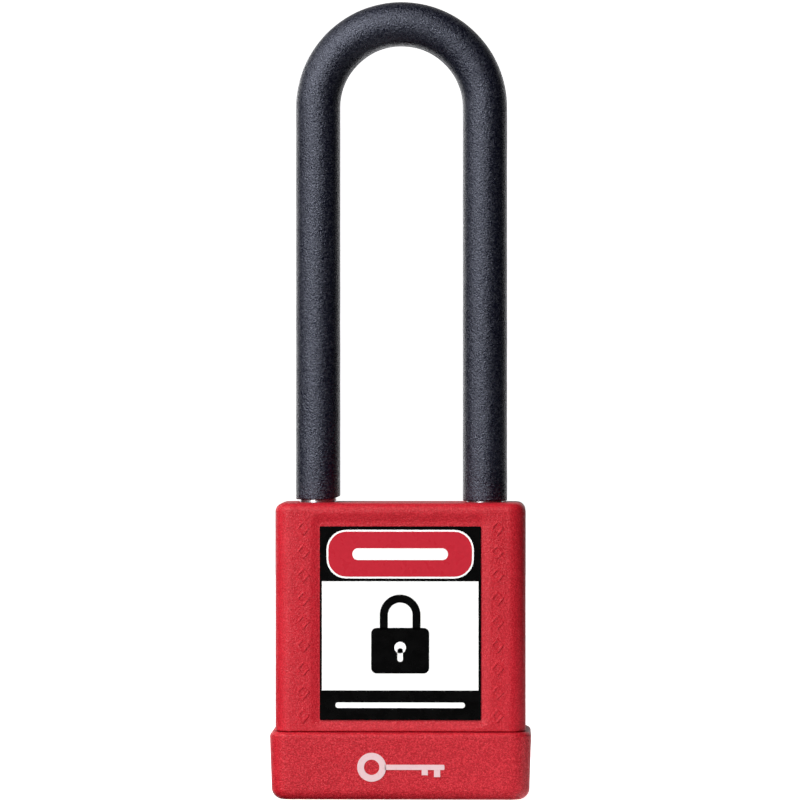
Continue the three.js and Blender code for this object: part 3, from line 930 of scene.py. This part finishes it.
def notch_cutter(side):
    """A milled slot across the inside of one leg."""
    inner = LEG_X - STEEL_R
    outline = filleted([
        (inner - 2, NOTCH_Z - NOTCH_HALF),
        (inner + NOTCH_DEEP, NOTCH_Z - NOTCH_HALF, 0.3),
        (inner + NOTCH_DEEP, NOTCH_Z + NOTCH_HALF, 0.3),
        (inner - 2, NOTCH_Z + NOTCH_HALF),
    ], closed=True)
    return skin([[(side * x, y, z) for x, z in outline] for y in (-5, 5)])


def make_bar(material):
    """The steel bar: chamfered ends, a necked heel and a notch in each leg."""
    r = STEEL_R
    toe_edge = filleted([
        (r - 1.2, TOE_END),
        (r - 0.8, TOE_END, 0.1),
        (r, TOE_END + 0.8, 0.3),
        (r, TOE_END + 3),
    ])
    heel_edge = filleted([
        (r, NECK_HIGH + 2),
        (r, NECK_HIGH, 0.15),
        (NECK_R + 0.4, NECK_HIGH, 0.1),
        (NECK_R, NECK_HIGH - 0.4, 0.1),
        (NECK_R, NECK_LOW, 0.15),
        (r, NECK_LOW, 0.15),
        (r, HEEL_END + 0.5, 0.2),
        (r - 0.5, HEEL_END, 0.1),
        (r - 1, HEEL_END),
    ])
    middle = bar_stations(TOE_END + 4, NECK_HIGH + 3, r)
    toe_rings = [station(-LEG_X, z, math.pi, radius) for radius, z in toe_edge]
    heel_rings = [station(LEG_X, z, 0, radius) for radius, z in heel_edge]
    bm = cut(skin([*toe_rings, *middle, *heel_rings]), [notch_cutter(-1), notch_cutter(1)])
    piece("steel_bar", bm, material, "shackle", ["shackle"])


# ---- Cylinder ----


def keyway_cutter():
    """The keyway's crooked section, from below the plug's face to the last pin."""
    outline = [
        (-1.3, -4.3), (0.5, -4.3), (0.5, -2.6), (1.0, -2.6), (1.0, -0.6), (0.6, -0.6), (0.6, 3.0),
        (-1.0, 3.0), (-1.0, -0.6), (-0.5, -0.6), (-0.5, -2.2), (-1.3, -2.2),
    ]
    softened = filleted([(x, y, 0.12) for x, y in outline], closed=True)
    return slab(softened, 0, KEYWAY_TOP)


def pin_hole(index):
    """A key pin's hole, from the keyway out through the plug's back."""
    hole = turned([(PIN_HOLE_R, -2.3), (PIN_HOLE_R, 8)], 32)
    upright = Matrix.Rotation(-math.pi / 2, 4, "X")
    return moved(hole, Matrix.Translation((0, 0, FIRST_PIN_Z + PIN_PITCH * index)) @ upright)


def make_plug(material):
    """The turned plug with its head, retaining groove and tang, its keyway and its pin holes."""
    foot = PLUG_LOW.z
    head = foot + PLUG_HEAD
    profile = filleted([
        (3.2, foot),
        (PLUG_HIGH.x, foot, 0.35),
        (PLUG_HIGH.x, head, 0.1),
        (PLUG_R, head, 0.1),
        (PLUG_R, GROOVE_LOW, 0.05),
        (GROOVE_R, GROOVE_LOW, 0.1),
        (GROOVE_R, GROOVE_HIGH, 0.1),
        (PLUG_R, GROOVE_HIGH, 0.05),
        (PLUG_R, PLUG_TOP, 0.4),
        (2, PLUG_TOP),
    ])
    section = rectangle(TANG["width"], TANG["height"], TANG["corner"])
    tang = slab(section, PLUG_TOP - 0.1, PLUG_HIGH.z)
    cutters = [keyway_cutter(), *[pin_hole(i) for i in range(PIN_COUNT)]]
    bm = joined([cut(turned(profile, 96), cutters), tang])
    piece("keyed_plug", bm, material, "cylinder", ["cylinder_plug"])


# ---- Springs ----


def coil(radius, wire, turns, length):
    """A compression spring up Z from the origin, with a closed turn at each end."""
    closed = 2.3 * wire
    pitch = (length - 2 * wire - 2 * closed) / (turns - 2)
    rings = []
    for i in range(turns * COIL_STEPS + 1):
        turn = i / COIL_STEPS
        height = wire + closed * min(turn, 1)
        height += pitch * min(max(turn - 1, 0), turns - 2) + closed * max(turn - turns + 1, 0)
        angle = 2 * math.pi * turn
        rings.append([
            ((radius + u) * math.cos(angle), (radius + u) * math.sin(angle), height + v)
            for u, v in circle(wire, WIRE_SIDES)
        ])
    return skin(rings)


def make_spring(node, material, wire, turns, along_x=False):
    """A coil in the place of a CAD spring."""
    low, high = extent(node)
    middle = (low + high) / 2
    radius = (high.y - low.y) / 2 - wire
    if along_x:
        foot = Vector((low.x, middle.y, middle.z))
        head = Vector((high.x, middle.y, middle.z))
        turn = Matrix.Rotation(math.pi / 2, 4, "Y")
    else:
        foot = Vector((middle.x, middle.y, low.z))
        head = Vector((middle.x, middle.y, high.z))
        turn = Matrix.Identity(4)
    bm = moved(coil(radius, wire, turns, (head - foot).length), Matrix.Translation(foot) @ turn)
    spring = piece(f"{node}_coil", bm, material, None, [node])
    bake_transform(spring)


def make_springs(material):
    """The spring under the shackle's heel, and the one behind each driver pin."""
    make_spring("shackle_spring", material, SHACKLE_WIRE, SHACKLE_TURNS)
    for i in range(1, PIN_COUNT + 1):
        make_spring(f"pin_spring_{i}", material, PIN_WIRE, PIN_TURNS, along_x=True)


# ---- CAD nodes that stay ----


def dress_cad_nodes(materials):
    """Gives every CAD node that is still shown the material of its slot."""
    slots = {part["node"]: part["material_slot"] for part in frame["record"]["subparts"]}
    for name, obj in frame["nodes"].items():
        if obj.hide_render:
            continue
        obj.data.materials.clear()
        obj.data.materials.append(materials[slots[name]])


# ---- Stage, light and camera ----


def make_stage():
    """A pale floor that curves up all round into a wall. It is a backdrop only and lights nothing."""
    shader = Shader("stage_white")
    tone = shader.mix(shader.noise(0.01, 2.0), rgb(0.93, 0.93, 0.93), rgb(0.95, 0.95, 0.95))
    material = shader.finish(
        Base_Color=tone,
        Roughness=0.9,
        Specular_IOR_Level=0.0,
        Emission_Color=rgb(1, 1, 1),
        Emission_Strength=1.0,
    )
    profile = filleted([(1, 0), (STAGE_RADIUS, 0, STAGE_SWEEP), (STAGE_RADIUS, STAGE_HEIGHT)])
    floor = new_object("stage_floor", moved(bowl(profile), Matrix.Scale(MM, 4)))
    floor.data.materials.append(material)
    floor.visible_diffuse = False
    floor.visible_glossy = False
    floor.visible_shadow = False


def bowl(profile):
    """A sheet turned about Z, flat in the middle and open at the top."""
    rings = [[(x, y, z) for x, y in circle(radius, 96)] for radius, z in profile]
    bm = skin(rings)
    lid = [face for face in bm.faces if min(v.co.z for v in face.verts) >= STAGE_HEIGHT]
    bmesh.ops.delete(bm, geom=lid, context="FACES_ONLY")
    for face in bm.faces:
        face.smooth = True
    return bm


def add_light(name, azimuth, elevation, size, power, distance=LIGHT_DISTANCE):
    """A soft rectangular light round the padlock's middle, facing it."""
    data = bpy.data.lights.new(name, "AREA")
    data.shape = "RECTANGLE"
    data.size, data.size_y = size
    data.energy = power
    light = bpy.data.objects.new(name, data)
    light.visible_camera = False
    turn = Matrix.Rotation(math.radians(azimuth), 4, "Z")
    tilt = Matrix.Rotation(math.radians(90 - elevation), 4, "X")
    reach = Matrix.Translation((0, 0, distance))
    light.matrix_world = Matrix.Translation(LIT_POINT) @ turn @ tilt @ reach
    bpy.context.scene.collection.objects.link(light)


def make_lights():
    """One large key light, weaker lights round it, and light thrown back up by the table."""
    add_light("key", -31, 28, (0.3, 0.95), 13.0)
    add_light("side", -80, 35, (0.45, 0.45), 2.7)
    add_light("rim_left", -150, 5, (0.45, 0.45), 1.3)
    add_light("rim_right", 150, 5, (0.45, 0.45), 0.6)
    add_light("back", 180, 20, (1.2, 0.8), 1.8)
    add_light("bounce_front", 0, -55, (0.14, 0.06), 0.0155, BOUNCE_DISTANCE)
    add_light("bounce_back", 180, -22, (1.0, 0.3), 2.2)
    add_light("bounce_right", 90, -55, (0.08, 0.06), 0.045, BOUNCE_DISTANCE)
    world = bpy.data.worlds.new("studio")
    world.use_nodes = True
    background = world.node_tree.nodes["Background"]
    background.inputs["Color"].default_value = rgb(1, 1, 1)
    background.inputs["Strength"].default_value = 0.02
    bpy.context.scene.world = world


def make_camera():
    """A long lens, level and almost square on, at the height of the padlock's middle."""
    data = bpy.data.cameras.new("camera")
    data.lens = data.sensor_width * CAMERA_DISTANCE / VIEW_WIDTH
    camera = bpy.data.objects.new("camera", data)
    turn = Matrix.Rotation(math.radians(CAMERA_TURN), 4, "Z")
    level = Matrix.Rotation(math.pi / 2, 4, "X")
    reach = Matrix.Translation((0, 0, CAMERA_DISTANCE))
    camera.matrix_world = Matrix.Translation(CAMERA_AIM) @ turn @ level @ reach
    bpy.context.scene.collection.objects.link(camera)
    bpy.context.scene.camera = camera
    bpy.context.scene.view_settings.view_transform = "Standard"


def main():
    make_camera()
    make_lights()
    make_stage()
    materials = make_materials()
    make_cover(materials["cover_plastic"])
    make_cap(materials["cap_plastic"])
    make_cap_print(materials["cap_print"])
    make_front_label(materials)
    make_back_label(materials)
    make_sleeve(materials["nylon"])
    make_bar(materials["hardened_steel"])
    make_plug(materials["plug_face"])
    make_springs(materials["spring_steel"])
    dress_cad_nodes(materials)


main()
